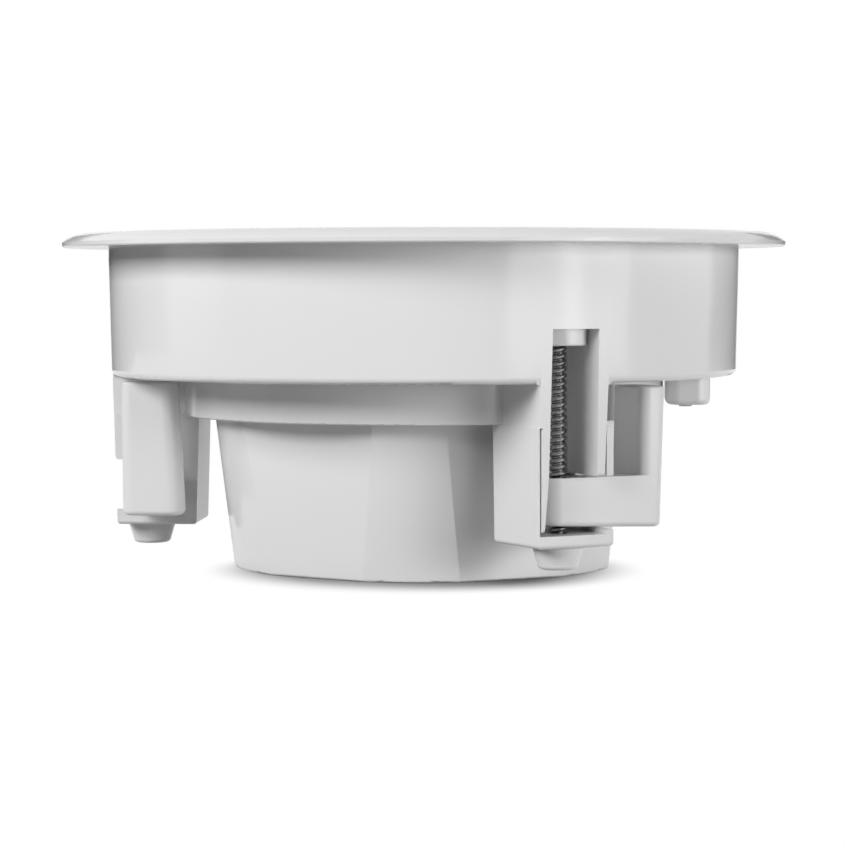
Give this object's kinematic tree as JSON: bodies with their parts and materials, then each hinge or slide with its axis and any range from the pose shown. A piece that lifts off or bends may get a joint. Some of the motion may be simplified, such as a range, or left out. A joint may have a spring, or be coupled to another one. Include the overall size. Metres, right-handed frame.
{
  "type": "marine speaker",
  "caption": "Round flush-mount marine speaker: moulded flange, can and step ring, tapered magnet cover, swing-out clamps on long screws, terminal box and slotted grille.",
  "frame": {"origin": "centre of the flange's underside, on the panel's face", "axes": "+Z towards the listener, out of the panel; -Z through the cut-out"},
  "size_m": [0.2222, 0.2222, 0.1027],
  "materials": {
    "white_plastic": "moulded white plastic with a soft gloss",
    "grille_plastic": "moulded white plastic with a soft gloss",
    "clamp_plastic": "moulded white plastic, satin",
    "stainless": "bright stainless steel",
    "black_plastic": "moulded black plastic",
    "brass_tab": "tinned brass",
    "surround_rubber": "matt rubber",
    "cone_plastic": "moulded polypropylene",
    "former_foil": "thin foil",
    "copper_wire": "enamelled copper wire",
    "spider_cloth": "resin-treated cloth",
    "zinc_steel": "zinc-plated steel",
    "ferrite": "fired ferrite",
    "dome_film": "formed film",
    "circuit_board": "solder-masked board",
    "capacitor_sleeve": "sleeve of a film capacitor"
  },
  "bodies": {
    "enclosure": {"housing": "white_plastic", "magnet_cover": "white_plastic", "grille": "grille_plastic", "terminal_cover": "white_plastic", "clamp_cap_1": "clamp_plastic", "clamp_cap_2": "clamp_plastic", "clamp_cap_3": "clamp_plastic", "terminal_cover_screw": "stainless", "basket_screws": "stainless", "terminal_block": "black_plastic", "terminal_tabs": "brass_tab", "basket": "black_plastic", "surround": "surround_rubber", "spider": "spider_cloth", "front_plate": "zinc_steel", "yoke": "zinc_steel", "magnet": "ferrite", "tweeter_magnet": "ferrite", "tweeter_post": "black_plastic", "tweeter_housing": "black_plastic", "tweeter_dome": "dome_film", "crossover_board": "circuit_board", "crossover_capacitor": "capacitor_sleeve", "crossover_coil": "copper_wire"},
    "cone": {"cone": "cone_plastic", "coil_former": "former_foil", "voice_coil": "copper_wire"},
    "dog_1": {"clamp_dog_1": "clamp_plastic"},
    "screw_1": {"clamp_screw_1": "stainless"},
    "dog_2": {"clamp_dog_2": "clamp_plastic"},
    "screw_2": {"clamp_screw_2": "stainless"},
    "dog_3": {"clamp_dog_3": "clamp_plastic"},
    "screw_3": {"clamp_screw_3": "stainless"}
  },
  "joints": [
    {"name": "dog_1_swing", "type": "hinge", "parent": "enclosure", "child": "dog_1", "pos_m": [0.03777, -0.07659, -0.0723], "axis": [0, 0, -1], "range_deg": [0, 90]},
    {"name": "screw_1_turn", "type": "hinge", "parent": "enclosure", "child": "screw_1", "pos_m": [0.03777, -0.07659, -0.0119], "axis": [0, 0, 1], "continuous": true},
    {"name": "dog_2_swing", "type": "hinge", "parent": "enclosure", "child": "dog_2", "pos_m": [0.04745, 0.07101, -0.0723], "axis": [0, 0, -1], "range_deg": [0, 90]},
    {"name": "screw_2_turn", "type": "hinge", "parent": "enclosure", "child": "screw_2", "pos_m": [0.04745, 0.07101, -0.0119], "axis": [0, 0, 1], "continuous": true},
    {"name": "dog_3_swing", "type": "hinge", "parent": "enclosure", "child": "dog_3", "pos_m": [-0.08522, 0.00559, -0.0723], "axis": [0, 0, -1], "range_deg": [0, 90]},
    {"name": "screw_3_turn", "type": "hinge", "parent": "enclosure", "child": "screw_3", "pos_m": [-0.08522, 0.00559, -0.0119], "axis": [0, 0, 1], "continuous": true},
    {"name": "cone_travel", "type": "slide", "parent": "enclosure", "child": "cone", "axis": [0, 0, 1], "range_m": [-0.003, 0.003], "stiffness_N_per_m": 2000, "deforming": ["surround", "spider"]}
  ]
}
